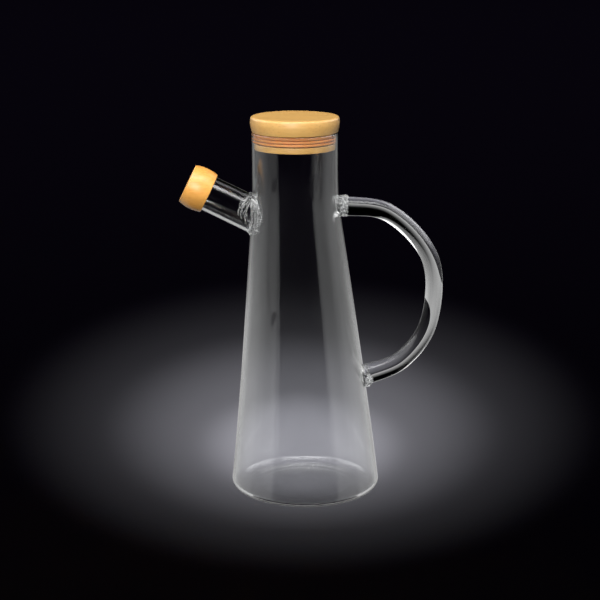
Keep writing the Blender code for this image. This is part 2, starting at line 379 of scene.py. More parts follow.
def fused(piece, steps):
    """Join or cut other closed pieces, in order, and keep one plain mesh."""
    for other, operation in steps:
        change = piece.modifiers.new(other.name, "BOOLEAN")
        change.operation = operation
        change.solver = "EXACT"
        change.use_self = other.name == "weld_strands"
        change.material_mode = "TRANSFER"
        change.object = other
    bpy.context.view_layer.update()
    seen = piece.evaluated_get(bpy.context.evaluated_depsgraph_get())
    mesh = bpy.data.meshes.new_from_object(seen)
    piece.modifiers.clear()
    piece.data = mesh
    for other, _ in steps:
        bpy.data.objects.remove(other, do_unlink=True)
    return piece


def painted(piece, material):
    """Give a piece one material."""
    piece.data.materials.clear()
    piece.data.materials.append(material)
    return piece


def finished(piece, node, sharp=35.0):
    """Give a piece its sharp creases and body, and hide the node that it replaces."""
    piece.data.set_sharp_from_angle(angle=np.radians(sharp))
    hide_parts(node)
    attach(piece, "root")
    return piece


def add_node(tree, kind, inputs=None, **settings):
    """Add one node, set its properties, and fill or link its inputs by name or number."""
    node = tree.nodes.new(kind)
    for name, value in settings.items():
        setattr(node, name, value)
    for name, value in (inputs or {}).items():
        if isinstance(value, bpy.types.NodeSocket):
            tree.links.new(value, node.inputs[name])
        else:
            node.inputs[name].default_value = value
    return node


def new_material(name):
    """An empty node material, its tree, and its output node."""
    material = bpy.data.materials.new(name)
    material.use_nodes = True
    material.node_tree.nodes.clear()
    output = add_node(material.node_tree, "ShaderNodeOutputMaterial")
    return material, material.node_tree, output


def borosilicate(settings):
    """Blown borosilicate glass: clear and fire-polished, so it shows by its reflections.

    Faint waves of the wall bend the reflections, and smudges leave its roughness a little uneven. The fused
    welds are a little rougher, in a material of their own.
    """
    material, tree, output = new_material("blown_borosilicate_glass")
    place = add_node(tree, "ShaderNodeTexCoord").outputs["Object"]
    waviness = add_node(
        tree, "ShaderNodeTexNoise", {"Vector": place, "Scale": 1.0 / (26 * MM), "Detail": 1.0}
    )
    bump = add_node(
        tree,
        "ShaderNodeBump",
        {"Height": waviness.outputs["Fac"], "Strength": 0.10, "Distance": 0.4 * MM},
    )
    smudges = add_node(
        tree, "ShaderNodeTexNoise", {"Vector": place, "Scale": 1.0 / (14 * MM), "Detail": 3.0}
    )
    roughness = add_node(
        tree,
        "ShaderNodeMapRange",
        {"Value": smudges.outputs["Fac"], "From Min": 0.35, "From Max": 0.8, "To Min": 0.0, "To Max": 0.03},
    )
    shader = add_node(
        tree,
        "ShaderNodeBsdfPrincipled",
        {
            "Base Color": (*settings.tint, 1.0),
            "Roughness": roughness.outputs["Result"],
            "IOR": 1.473,
            "Transmission Weight": 1.0,
            "Normal": bump.outputs["Normal"],
        },
    )
    tree.links.new(shader.outputs["BSDF"], output.inputs["Surface"])
    return material


def fused_glass(settings):
    """Fire-worked glass of the welds: full of tiny bubbles and creases, so it scatters white."""
    material, tree, output = new_material("fused_weld_glass")
    place = add_node(tree, "ShaderNodeTexCoord").outputs["Object"]
    creases = add_node(
        tree,
        "ShaderNodeTexNoise",
        {"Vector": place, "Scale": 1.0 / (1.6 * MM), "Detail": 4.0, "Roughness": 0.6},
    )
    bump = add_node(
        tree,
        "ShaderNodeBump",
        {"Height": creases.outputs["Fac"], "Strength": 0.5, "Distance": 0.25 * MM},
    )
    cloudy = add_node(
        tree,
        "ShaderNodeMapRange",
        {"Value": creases.outputs["Fac"], "From Min": 0.35, "From Max": 0.65, "To Min": 0.9, "To Max": 0.5},
    )
    shader = add_node(
        tree,
        "ShaderNodeBsdfPrincipled",
        {
            "Base Color": (0.97, 0.98, 0.98, 1.0),
            "Roughness": 0.2,
            "IOR": 1.473,
            "Transmission Weight": cloudy.outputs["Result"],
            "Normal": bump.outputs["Normal"],
        },
    )
    tree.links.new(shader.outputs["BSDF"], output.inputs["Surface"])
    return material


def bamboo(name, tone, settings, along):
    """Laminated bamboo, turned, fine-sanded and oiled: pale wood full of straight fibres.

    Fibre bundles are dots across the grain and long dashes along it, and the tone wavers in long streaks along
    the grain. The oil's soft satin sheen is added by bamboo_material.
    """
    material, tree, output = new_material(name)
    place = add_node(tree, "ShaderNodeTexCoord").outputs["Object"]
    grain = add_node(
        tree, "ShaderNodeMapping", {"Vector": place, "Rotation": along, "Scale": (0.035, 1.0, 1.0)}
    )
    bundles = add_node(
        tree,
        "ShaderNodeTexVoronoi",
        {"Vector": grain.outputs["Vector"], "Scale": 1.0 / (2.0 * settings.fibre), "Randomness": 1.0},
    )
    dash = add_node(
        tree,
        "ShaderNodeMapRange",
        {"Value": bundles.outputs["Distance"], "From Min": 0.10, "From Max": 0.42, "To Min": 1.0, "To Max": 0.0},
    )
    cloud = add_node(
        tree,
        "ShaderNodeTexNoise",
        {"Vector": grain.outputs["Vector"], "Scale": 1.0 / (5 * MM), "Detail": 4.0, "Roughness": 0.6},
    )
    mottle = add_node(
        tree, "ShaderNodeTexNoise", {"Vector": place, "Scale": 1.0 / (7 * MM), "Detail": 3.0}
    )
    base = np.array(tone)
    light = add_node(
        tree,
        "ShaderNodeMix",
        {
            "Factor": cloud.outputs["Fac"],
            "A": (*(base * 0.86), 1.0),
            "B": (*np.minimum(base * 1.16, 1.0), 1.0),
        },
        data_type="RGBA",
    )
    return material, tree, output, place, grain, dash, mottle, light


def bamboo_material(name, tone, settings, along, sheen):
    """Finish the bamboo: darker bundles, warm mottling, satin oil and a fine relief."""
    material, tree, output, place, grain, dash, mottle, light = bamboo(name, tone, settings, along)
    base = np.array(tone)
    colour_in = light.outputs[2]
    bundled = add_node(
        tree,
        "ShaderNodeMix",
        {
            0: add_node(
                tree, "ShaderNodeMath", {0: dash.outputs["Result"], 1: 0.45}, operation="MULTIPLY"
            ).outputs[0],
            6: colour_in,
            7: (*(base * np.array([0.62, 0.50, 0.36])), 1.0),
        },
        data_type="RGBA",
    )
    warm = add_node(
        tree,
        "ShaderNodeMapRange",
        {"Value": mottle.outputs["Fac"], "From Min": 0.40, "From Max": 0.72, "To Min": 0.0, "To Max": 0.35},
    )
    coloured = add_node(
        tree,
        "ShaderNodeMix",
        {
            0: warm.outputs["Result"],
            6: bundled.outputs[2],
            7: (*(base * np.array([0.95, 0.82, 0.62])), 1.0),
        },
        data_type="RGBA",
    )
    bump = add_node(
        tree,
        "ShaderNodeBump",
        {"Height": dash.outputs["Result"], "Strength": 0.25, "Distance": 0.06 * MM},
    )
    roughness = add_node(
        tree,
        "ShaderNodeMapRange",
        {"Value": mottle.outputs["Fac"], "From Min": 0.3, "From Max": 0.7, "To Min": 0.38, "To Max": 0.5},
    )
    shader = add_node(
        tree,
        "ShaderNodeBsdfPrincipled",
        {
            "Base Color": coloured.outputs[2],
            "Roughness": roughness.outputs["Result"],
            "IOR": 1.5,
            "Coat Weight": sheen,
            "Coat Roughness": 0.25,
            "Normal": bump.outputs["Normal"],
        },
    )
    tree.links.new(shader.outputs["BSDF"], output.inputs["Surface"])
    return material


def silicone(settings):
    """Moulded silicone rubber: milky and soft, so light sinks in and its lips glow."""
    material, tree, output = new_material("moulded_silicone")
    place = add_node(tree, "ShaderNodeTexCoord").outputs["Object"]
    cloud = add_node(
        tree, "ShaderNodeTexNoise", {"Vector": place, "Scale": 1.0 / (6 * MM), "Detail": 3.0}
    )
    base = np.array(settings.colour)
    colour = add_node(
        tree,
        "ShaderNodeMix",
        {0: cloud.outputs["Fac"], 6: (*(base * 0.85), 1.0), 7: (*np.minimum(base * 1.2, 1.0), 1.0)},
        data_type="RGBA",
    )
    shader = add_node(
        tree,
        "ShaderNodeBsdfPrincipled",
        {
            "Base Color": colour.outputs[2],
            "Roughness": 0.38,
            "IOR": 1.41,
            "Subsurface Weight": 0.35,
            "Subsurface Radius": (1.0, 0.6, 0.4),
            "Subsurface Scale": 1.2 * MM,
        },
    )
    tree.links.new(shader.outputs["BSDF"], output.inputs["Surface"])
    return material


def wall_profile(inset, foot, heel, top, count):
    """One face of the wall, top to bottom: neck and cone less the inset, then an elliptic heel.

    The heel leaves the cone at the angle whose tangent is the slope times height over reach,
    so that the two run into each other without a corner.
    """
    reach, height = heel
    start = np.arctan(CONE_SLOPE * height / reach)
    tangent = foot + height * (1.0 + np.sin(start))
    centre = (body_radius(tangent) - inset - reach * np.cos(start), foot + height)
    heights = np.concatenate(
        [
            np.linspace(top, NECK_FOOT + 6 * MM, 12, endpoint=False),
            np.linspace(NECK_FOOT + 6 * MM, NECK_FOOT - 6 * MM, 12, endpoint=False),
            np.linspace(NECK_FOOT - 6 * MM, tangent, count, endpoint=False),
        ]
    )
    wall = np.stack([body_radius(heights) - inset, heights], 1)
    return np.vstack([wall, arc(centre, heel, start, -np.pi / 2, 18)])


def punt(radius):
    """Height of the pushed-up bottom: a smooth slope inside the contact ring, then a low crown."""
    slope = step(CONTACT_RADIUS, PUNT_EDGE, radius)
    crown = np.maximum(1.0 - (radius / PUNT_EDGE) ** 2, 0.0)
    return PUNT_RISE * slope + PUNT_CROWN * crown


def bottle_outside():
    """Rings of the whole outside: rim edge, wall and heel, then the punt to the middle."""
    wall = wall_profile(0.0, 0.0, (HEEL_REACH, HEEL_HEIGHT), RIM_HEIGHT - RIM_EDGE, 46)
    edge_centre = (NECK_RADIUS - RIM_EDGE, RIM_HEIGHT - RIM_EDGE)
    rim = arc(edge_centre, (RIM_EDGE, RIM_EDGE), np.pi / 2, 0.0, 7)[:-1]
    top = straight((2 * MM, RIM_HEIGHT), rim[0], 3)
    radii = np.linspace(wall[-1, 0], 1 * MM, 60)[1:]
    bottom = np.stack([radii, punt(radii)], 1)
    rings = turned(np.vstack([top, rim, wall, bottom]), 240, lean)
    return rippled(rings, 0.035 * MM, 60 * MM, 3)


def bottle_inside(settings):
    """Rings of the hollow: it flares over the rim's inner edge and rounds into the floor."""
    wall = wall_profile(
        settings.wall, settings.floor, (FILLET_REACH, FILLET_HEIGHT), RIM_HEIGHT - RIM_EDGE, 46
    )
    edge_centre = (NECK_RADIUS - settings.wall + RIM_EDGE, RIM_HEIGHT - RIM_EDGE)
    flare = arc(edge_centre, (RIM_EDGE, RIM_EDGE), 0.55 * np.pi, np.pi, 7)[:-1]
    above = straight((2 * MM, RIM_HEIGHT + 3 * MM), (flare[0, 0], RIM_HEIGHT + 3 * MM), 3)
    corner = straight((flare[0, 0], RIM_HEIGHT + 3 * MM), flare[0], 2)
    radii = np.linspace(wall[-1, 0], 1 * MM, 60)[1:]
    bottom = np.stack([radii, settings.floor + punt(radii)], 1)
    rings = turned(np.vstack([above, corner, flare, wall, bottom]), 240, lean)
    return rippled(rings, 0.035 * MM, 55 * MM, 8)


def rippled(rings, height, wavelength, seed):
    """Push points along their horizontal direction by smooth noise, as blown glass wavers."""
    middle = np.zeros_like(rings)
    middle[..., 0] = lean(rings[..., 2])
    middle[..., 2] = rings[..., 2]
    outward = rings - middle
    outward /= np.maximum(np.linalg.norm(outward, axis=-1, keepdims=True), 1e-9)
    low = step(0.0, 12 * MM, rings[..., 2])[..., None]
    return rings + outward * low * height * waves(rings, wavelength, seed)[..., None]


def on_spout(distance, angle, radius):
    """Points at a distance along the spout's axis, on a circle round it from the top."""
    return (
        SPOUT_ROOT
        + distance[..., None] * SPOUT_AXIS
        + (radius * np.cos(angle))[..., None] * SPOUT_UP
        + (radius * np.sin(angle))[..., None] * ACROSS
    )


def wall_distance(angle, radius, inset):
    """How far along the spout's axis a circle round it meets the body, by halving steps."""
    low = np.full_like(angle, -30 * MM)
    high = np.full_like(angle, 30 * MM)
    for _ in range(40):
        middle = 0.5 * (low + high)
        points = on_spout(middle, angle, radius)
        reach = np.hypot(points[..., 0] - lean(points[..., 2]), points[..., 1])
        outside = reach > body_radius(points[..., 2]) - inset
        low = np.where(outside, low, middle)
        high = np.where(outside, middle, high)
    return 0.5 * (low + high)


def spout_blank(settings):
    """Rings of the spout tube, as a solid blank.

    The radius is the tube's, plus a fillet that dies away from the wall and is a little lumpy.
    """
    angle = np.linspace(0.0, FULL_TURN, 160, endpoint=False)
    distance = np.concatenate(
        [
            np.linspace(-14 * MM, -6 * MM, 6, endpoint=False),
            np.linspace(-6 * MM, 12 * MM, 50, endpoint=False),
            np.linspace(12 * MM, SPOUT_LENGTH, 12),
        ]
    )
    distance, angle = np.meshgrid(distance, angle, indexing="ij")
    radius = SPOUT_ROOT_RADIUS + (SPOUT_TIP_RADIUS - SPOUT_ROOT_RADIUS) * distance / SPOUT_LENGTH
    off = distance - wall_distance(angle, np.full_like(angle, SPOUT_ROOT_RADIUS), 0.0)
    fillet = 1.3 * MM * np.exp(-((np.maximum(off, 0.0) / (1.1 * MM)) ** 1.2))
    near = np.exp(-((off / (3.0 * MM)) ** 2))
    lumps = 0.35 * settings.wrinkle * waves(on_spout(distance, angle, radius), 5 * MM, 5) * near
    return lofted("spout_blank", on_spout(distance, angle, radius + fillet + lumps))


def spout_bore():
    """Rings of the bore: a straight hole that flares softly where it meets the neck."""
    angle = np.linspace(0.0, FULL_TURN, 120, endpoint=False)
    distance = np.concatenate(
        [np.linspace(-14 * MM, 6 * MM, 40, endpoint=False), np.linspace(6 * MM, 48 * MM, 12)]
    )
    distance, angle = np.meshgrid(distance, angle, indexing="ij")
    rounding = 0.5 * MM * step(SPOUT_LENGTH - 1.0 * MM, SPOUT_LENGTH + 0.5 * MM, distance)
    return lofted("spout_bore", on_spout(distance, angle, BORE_RADIUS + rounding))


def inner_lip(settings):
    """Closed ring of fused glass round the bore's mouth inside the neck.

    Its middle line is where the bore meets the inner wall, pushed further in at the sides.
    Its section is a circle whose radius wavers with smooth noise.
    """
    angle = np.linspace(0.0, FULL_TURN, 160, endpoint=False)
    radius = np.full_like(angle, BORE_RADIUS + 1.0 * MM)
    meets = wall_distance(angle, radius, settings.wall)
    inward = (0.5 + 1.3 * np.sin(angle) ** 2) * MM
    line = on_spout(meets - inward, angle, radius)
    along = np.roll(line, -1, axis=0) - np.roll(line, 1, axis=0)
    along /= np.linalg.norm(along, axis=1, keepdims=True)
    outward = on_spout(meets, angle, radius + 1.0 * MM) - on_spout(meets, angle, radius)
    outward /= np.linalg.norm(outward, axis=1, keepdims=True)
    third = np.cross(along, outward)
    turn = np.linspace(0.0, FULL_TURN, 24, endpoint=False)
    direction = (
        np.cos(turn)[None, :, None] * outward[:, None, :]
        + np.sin(turn)[None, :, None] * third[:, None, :]
    )
    section = (1.25 + 0.3 * np.sin(angle) ** 2) * MM
    base = line[:, None, :] + section[:, None, None] * direction
    wavering = 0.45 * settings.wrinkle * waves(base, 5 * MM, 11)
    return lofted("inner_lip", base + wavering[..., None] * direction, closed=True)


def smooth_line(knots, count):
    """Catmull-Rom curve through knots of any dimension, carried straight on at both ends."""
    padded = np.vstack([2 * knots[0] - knots[1], knots, 2 * knots[-1] - knots[-2]])
    place = np.linspace(0.0, len(knots) - 1.000001, count)
    piece = place.astype(int)
    t = (place - piece)[:, None]
    a, b, c, d = (padded[piece + k] for k in range(4))
    bend = (2 * a - 5 * b + 4 * c - d) * t**2 + (3 * b - a - 3 * c + d) * t**3
    return 0.5 * (2 * b + (c - a) * t + bend)


def swept(line, radius, side, steps):
    """Rings across a line: circles spanned by the side direction and the one square to it."""
    along = np.gradient(line, axis=0)
    along /= np.linalg.norm(along, axis=1, keepdims=True)
    first = np.cross(along, side)
    first /= np.linalg.norm(first, axis=1, keepdims=True)
    second = np.cross(along, first)
    angle = np.linspace(0.0, FULL_TURN, steps, endpoint=False)
    direction = (
        np.cos(angle)[None, :, None] * first[:, None, :]
        + np.sin(angle)[None, :, None] * second[:, None, :]
    )
    return line[:, None, :] + radius[:, None, None] * direction


def handle_rod(settings):
    """Rings of the rod: circles across its line, a little fatter towards both ends."""
    line = smooth_line(HANDLE_KNOTS, 150)
    share = np.linspace(0.0, 1.0, len(line))
    swell = (
        1.0
        + HANDLE_UPPER_SWELL * np.maximum(0.0, 1.0 - 2.0 * share) ** 2
        + HANDLE_LOWER_SWELL * np.maximum(0.0, 2.0 * share - 1.0) ** 2
    )
    return lofted("handle_rod", swept(line, settings.rod * swell, ACROSS, 64))


def weld_strands(settings):
    """Strands of glass drawn over the spout's weld, alike on both sides, as one mesh.

    Each follows a smooth line, thins towards its end, and wavers with smooth noise.
    """
    pieces = []
    for start, end, knots in STRANDS:
        for mirror in (1.0, -1.0):
            line = smooth_line(np.array(knots) * (MM, mirror * MM, MM), 9 * len(knots))
            share = np.linspace(0.0, 1.0, len(line))
            tip = np.sqrt(np.maximum(1.0 - (2.0 * share - 1.0) ** 8, 0.02))
            radius = (start + (end - start) * share) * MM * tip
            radius *= 1.0 + 0.22 * waves(line, 3.2 * MM, 71)
            rings = swept(line, radius, SPOUT_AXIS, 14)
            pieces.append(lofted("strand", rings))
    return joined("weld_strands", pieces)


def joined(name, pieces):
    """One object that holds the meshes of several, which it replaces."""
    points, faces, used = [], [], 0
    for piece in pieces:
        mesh = piece.data
        points += [tuple(vertex.co) for vertex in mesh.vertices]
        faces += [tuple(used + index for index in face.vertices) for face in mesh.polygons]
        used += len(mesh.vertices)
        bpy.data.objects.remove(piece, do_unlink=True)
    mesh = bpy.data.meshes.new(name)
    mesh.from_pydata(points, [], faces)
    mesh.shade_smooth()
    whole = bpy.data.objects.new(name, mesh)
    bpy.context.scene.collection.objects.link(whole)
    return whole


def weld_nugget(name, place, drop, seed, settings):
    """Lump of fused glass at a rod's end: a turned bead whose skin is crumpled by folds."""
    profile = np.vstack(
        [
            straight((0.4 * MM, WELD_REACH), (WELD_RADIUS * 0.80, WELD_REACH * 0.98), 10),
            arc(
                (WELD_RADIUS * 0.80, WELD_REACH * 0.62),
                (WELD_RADIUS * 0.20, WELD_REACH * 0.36),
                np.pi / 2,
                0.0,
                14,
            ),
            straight((WELD_RADIUS, WELD_REACH * 0.58), (WELD_RADIUS * 0.97, -WELD_INSIDE), 26),
            straight((WELD_RADIUS * 0.97, -WELD_INSIDE), (0.4 * MM, -WELD_INSIDE), 8),
        ]
    )
    bead = turned(profile, 110)
    axis = np.array([np.cos(drop), 0.0, np.sin(drop)])
    up = np.array([-np.sin(drop), 0.0, np.cos(drop)])
    rings = (
        place + bead[..., 2:] * axis + bead[..., 0:1] * up + bead[..., 1:2] * ACROSS
    )
    outward = rings - (place + 0.5 * WELD_REACH * axis)
    outward /= np.linalg.norm(outward, axis=-1, keepdims=True)
    crumple = folds(rings, 4.5 * MM, seed) - 0.55 + 0.5 * waves(rings, 2.4 * MM, seed + 1)
    shown = step(-1.5 * MM, 0.5 * MM, bead[..., 2])
    return lofted(name, rings + (settings.wrinkle * crumple * shown)[..., None] * outward)


class OILBOTTLE_OT_glass(bpy.types.Operator):
    """Blow the bottle: body, spout, handle and welds fused into one hollow piece"""

    bl_idname = "oil_bottle.glass"
    bl_label = "Glass Bottle"

    def execute(self, context):
        settings = context.scene.oil_bottle_glass
        clear = borosilicate(settings)
        fire_worked = fused_glass(settings)
        bottle = painted(lofted("glass_bottle", bottle_outside()), clear)
        upper = weld_nugget("upper_weld", UPPER_WELD, 0.0, 31, settings)
        lower = weld_nugget("lower_weld", LOWER_WELD, LOWER_WELD_DROP, 47, settings)
        steps = [
            (painted(spout_blank(settings), clear), "UNION"),
            (painted(handle_rod(settings), clear), "UNION"),
            (painted(upper, fire_worked), "UNION"),
            (painted(lower, fire_worked), "UNION"),
            (painted(weld_strands(settings), fire_worked), "UNION"),
            (painted(lofted("hollow", bottle_inside(settings)), clear), "DIFFERENCE"),
            (painted(inner_lip(settings), fire_worked), "UNION"),
            (painted(spout_bore(), clear), "DIFFERENCE"),
        ]
        fused(bottle, steps)
        finished(bottle, "glass_body")
        bottle.visible_shadow = False
        return {"FINISHED"}


class OILBOTTLE_OT_lid(bpy.types.Operator):
    """Turn the bamboo lid: a disc with soft edges over a grooved plug"""

    bl_idname = "oil_bottle.lid"
    bl_label = "Bamboo Lid"

    def execute(self, context):
        settings = context.scene.oil_bottle_bamboo
        widest = LID_BOTTOM + 0.58 * (LID_TOP - LID_BOTTOM)
        edge_centre = (LID_TOP_RADIUS - LID_EDGE / 3, LID_TOP - LID_EDGE)
        edge = arc(edge_centre, (LID_EDGE, LID_EDGE), np.pi / 2, 0.2, 12)
        side_share = np.linspace(0.0, 1.0, 14)[1:]
        shoulder = edge[-1]
        upper = np.stack(
            [
                shoulder[0] + (LID_RADIUS - shoulder[0]) * np.sin(side_share * np.pi / 2),
                shoulder[1] + (widest - shoulder[1]) * side_share,
            ],
            1,
        )
        lower = np.stack(
            [
                LID_RADIUS + (LID_FOOT_RADIUS - LID_RADIUS) * side_share**1.6,
                widest + (LID_BOTTOM + 0.5 * MM - widest) * side_share,
            ],
            1,
        )
        foot = arc(
            (lower[-1, 0] - 0.5 * MM, LID_BOTTOM + 0.5 * MM), (0.5 * MM, 0.5 * MM), 0.0, -np.pi / 2, 6
        )[1:]
        profile = np.vstack(
            [
                straight((0.5 * MM, LID_TOP), edge[0], 12),
                edge,
                upper,
                lower,
                foot,
                straight(foot[-1], (GROOVE_RADIUS, LID_BOTTOM), 4)[1:],
                straight((GROOVE_RADIUS, LID_BOTTOM), (GROOVE_RADIUS, GROOVE_BOTTOM), 6),
                straight((GROOVE_RADIUS, GROOVE_BOTTOM), (PLUG_RADIUS - PLUG_EDGE, GROOVE_BOTTOM), 3),
                arc(
                    (PLUG_RADIUS - PLUG_EDGE, GROOVE_BOTTOM - PLUG_EDGE),
                    (PLUG_EDGE, PLUG_EDGE),
                    np.pi / 2,
                    0.0,
                    6,
                ),
                arc(
                    (PLUG_RADIUS - PLUG_EDGE, PLUG_BOTTOM + PLUG_EDGE),
                    (PLUG_EDGE, PLUG_EDGE),
                    0.0,
                    -np.pi / 2,
                    6,
                ),
                straight((PLUG_RADIUS - PLUG_EDGE, PLUG_BOTTOM), (0.5 * MM, PLUG_BOTTOM), 8)[1:],
            ]
        )
        rings = turned(profile, 160)
        rings[..., 0] += NECK_OFFSET
        lid = lofted("bamboo_lid", rings)
        wood = bamboo_material("oiled_bamboo_lid", settings.lid, settings, (0.0, 0.0, 0.0), 0.35)
        finished(painted(lid, wood), "lid")
        lid.visible_glossy = False
        return {"FINISHED"}


class OILBOTTLE_OT_seal(bpy.types.Operator):
    """Mould the silicone seal: a ring whose lips press on the neck"""

    bl_idname = "oil_bottle.seal"
    bl_label = "Silicone Seal"

    def execute(self, context):
        settings = context.scene.oil_bottle_seal
        top, bottom = GROOVE_TOP - GAP, GROOVE_BOTTOM + GAP
        height = np.linspace(top, bottom, 73)
        lobe = np.abs(np.sin(np.pi * SEAL_LIPS * (top - height) / (top - bottom)))
        lips = np.minimum(SEAL_ROOT + 1.75 * MM * lobe**0.8, settings.contact)
        outer = np.stack([lips, height], 1)
        inner = straight((GROOVE_RADIUS + GAP, bottom), (GROOVE_RADIUS + GAP, top), 8)
        last = np.array([[GROOVE_RADIUS + GAP, top]])
        rings = turned(np.vstack([outer, inner, last]), 160)
        rings[..., 0] += NECK_OFFSET
        seal = lofted("silicone_seal", rings, closed=True)
        finished(painted(seal, silicone(settings)), "lid_seal")
        seal.visible_glossy = False
        return {"FINISHED"}


class OILBOTTLE_OT_cap(bpy.types.Operator):
    """Turn the spout's bamboo cap: a barrel with a blind bore"""

    bl_idname = "oil_bottle.cap"
    bl_label = "Spout Cap"

    def execute(self, context):
        settings = context.scene.oil_bottle_bamboo
        share = np.linspace(0.0, 1.0, 24)
        straight_side = CAP_TIP_RADIUS + share * (CAP_ROOT_RADIUS - CAP_TIP_RADIUS)
        barrel = np.stack(
            [
                straight_side + CAP_BULGE * 4.0 * share * (1.0 - share),
                CAP_LENGTH - CAP_EDGE - share * (CAP_LENGTH - 2.0 * CAP_EDGE),
            ],
            1,
        )
        edge = (CAP_EDGE, CAP_EDGE)
        outer_edge = arc((barrel[0, 0] - CAP_EDGE, CAP_LENGTH - CAP_EDGE), edge, np.pi / 2, 0.0, 8)
        inner_edge = arc((barrel[-1, 0] - CAP_EDGE, CAP_EDGE), edge, 0.0, -np.pi / 2, 8)
        profile = np.vstack(
            [
                straight((0.5 * MM, CAP_LENGTH), outer_edge[0], 8),
                outer_edge[:-1],
                barrel,
                inner_edge[1:],
                straight((CAP_BORE_RADIUS, 0.0), (CAP_BORE_RADIUS, CAP_BORE_DEPTH), 6),
                straight((CAP_BORE_RADIUS, CAP_BORE_DEPTH), (0.5 * MM, CAP_BORE_DEPTH), 6),
            ]
        )
        turn = np.linspace(0.0, FULL_TURN, 128, endpoint=False)
        radius, height = np.meshgrid(profile[:, 0], turn, indexing="ij")[0], None
        distance = np.broadcast_to(profile[:, 1:], radius.shape) + CAP_START
        angle = np.broadcast_to(turn, radius.shape)
        cap = lofted("bamboo_cap", on_spout(distance, angle, radius))
        wood = bamboo_material(
            "oiled_bamboo_cap", settings.cap, settings, (0.0, 0.0, 0.0), 0.35
        )
        finished(painted(cap, wood), "spout_cap")
        cap.visible_glossy = False
        return {"FINISHED"}


class OILBOTTLE_OT_stage(bpy.types.Operator):
    """Set the studio: pale floor with a pool of light, soft panels, and the camera"""

    bl_idname = "oil_bottle.stage"
    bl_label = "Studio"

    def execute(self, context):
        scene = context.scene
        settings = scene.oil_bottle_studio
        set_camera(scene)
        floor = studio_floor(settings)
        dark_world(scene)
        soft_screen()
        on_floor = bpy.data.collections.new("lit_floor")
        on_floor.objects.link(floor)
        on_bottle = bpy.data.collections.new("lit_bottle")
        on_wood = bpy.data.collections.new("lit_wood")
        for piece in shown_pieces():
            on_bottle.objects.link(piece)
            if piece.name != "glass_bottle":
                on_wood.objects.link(piece)
        for number, (aim, angle, power) in enumerate(POOL_SPOTS):
            pool = new_lamp(f"floor_spot_{number}", "SPOT", POOL_PLACE, aim, power * settings.pool)
            pool.scale = (1.0, POOL_STRETCH, 1.0)
            pool.data.color = (0.98, 0.97, 1.06)
            pool.data.spot_size = np.radians(angle)
            pool.data.spot_blend = 1.0
            pool.data.shadow_soft_size = 0.01
            pool.data.use_shadow = False
            pool.light_linking.receiver_collection = on_floor
        far = new_lamp("floor_glow", "AREA", (0.0, 3.7, 1.2), (0.0, 3.7, 0.0), 0.475 * settings.pool)
        far.data.shape = "RECTANGLE"
        far.data.size, far.data.size_y = 8.0, 7.0
        far.data.color = (0.95, 0.65, 1.6)
        far.data.use_shadow = False
        far.light_linking.receiver_collection = on_floor
        key = new_lamp("key_softbox", "AREA", (0.0, -0.38, 1.05), (-0.01, 0.0, 0.15), 13.0 * settings.key)
        key.data.shape = "RECTANGLE"
        key.data.size, key.data.size_y = 1.3, 0.45
        key.light_linking.receiver_collection = on_bottle
        fill = new_lamp("front_fill", "AREA", (-0.3, -1.7, 0.8), (-0.01, 0.0, 0.22), 26.0 * settings.key)
        fill.data.size = 0.8
        fill.light_linking.receiver_collection = on_wood
        scene.view_settings.view_transform = "Standard"
        scene.cycles.use_denoising = True
        scene.cycles.caustics_reflective = False
        scene.cycles.caustics_refractive = False
        return {"FINISHED"}


def set_camera(scene):
    """Camera at the photograph's height, distance and downward angle."""
    data = bpy.data.cameras.new("camera")
    data.lens = 100.19
    data.sensor_width = 36.0
    data.clip_start, data.clip_end = 0.05, 60.0
    camera = bpy.data.objects.new("camera", data)
    camera.location = (-0.00376, -1.120, 0.4085)
    camera.rotation_euler = (np.radians(90.0 - 13.74), 0.0, 0.0)
    scene.collection.objects.link(camera)
    scene.camera = camera


def new_lamp(name, kind, place, target, power):
    """A lamp at a place, turned so that its -Z axis points at the target."""
    data = bpy.data.lights.new(name, kind)
    data.energy = power
    lamp = bpy.data.objects.new(name, data)
    lamp.location = place
    aim = np.array(target) - np.array(place)
    from mathutils import Vector

    lamp.rotation_mode = "QUATERNION"
    lamp.rotation_quaternion = Vector(aim).to_track_quat("-Z", "Y")
    lamp.visible_camera = False
    bpy.context.scene.collection.objects.link(lamp)
    return lamp


def studio_floor(settings):
    """Plain pale matt floor, wide enough to reach past the picture's top."""
    half = 12.0
    corners = half * np.array([(-1.0, -1.0, 0.0), (1.0, -1.0, 0.0), (1.0, 1.0, 0.0), (-1.0, 1.0, 0.0)])
    corners[:, 2] = FLOOR_DROP
    mesh = bpy.data.meshes.new("studio_floor")
    mesh.from_pydata(corners.tolist(), [], [(0, 1, 2, 3)])
    floor = bpy.data.objects.new("studio_floor", mesh)
    bpy.context.scene.collection.objects.link(floor)
    material, tree, output = new_material("pale_matt_floor")
    matt = add_node(tree, "ShaderNodeBsdfDiffuse", {"Color": (*settings.floor, 1.0)})
    clear = add_node(tree, "ShaderNodeBsdfTransparent")
    path = add_node(tree, "ShaderNodeLightPath")
    reflected = add_node(
        tree, "ShaderNodeMath", {0: path.outputs["Glossy Depth"], 1: 0.5}, operation="GREATER_THAN"
    )
    mix = add_node(
        tree,
        "ShaderNodeMixShader",
        {0: reflected.outputs[0], 1: matt.outputs["BSDF"], 2: clear.outputs["BSDF"]},
    )
    tree.links.new(mix.outputs["Shader"], output.inputs["Surface"])
    mesh.materials.append(material)
    floor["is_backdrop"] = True
    return floor


def dark_world(scene):
    """A dark room: what the pale floor and the glass show where no lamp or screen is."""
    world = bpy.data.worlds.new("studio")
    world.use_nodes = True
    background = world.node_tree.nodes["Background"]
    background.inputs["Color"].default_value = linear("#0A0710")
    world.cycles_visibility.diffuse = False
    scene.world = world


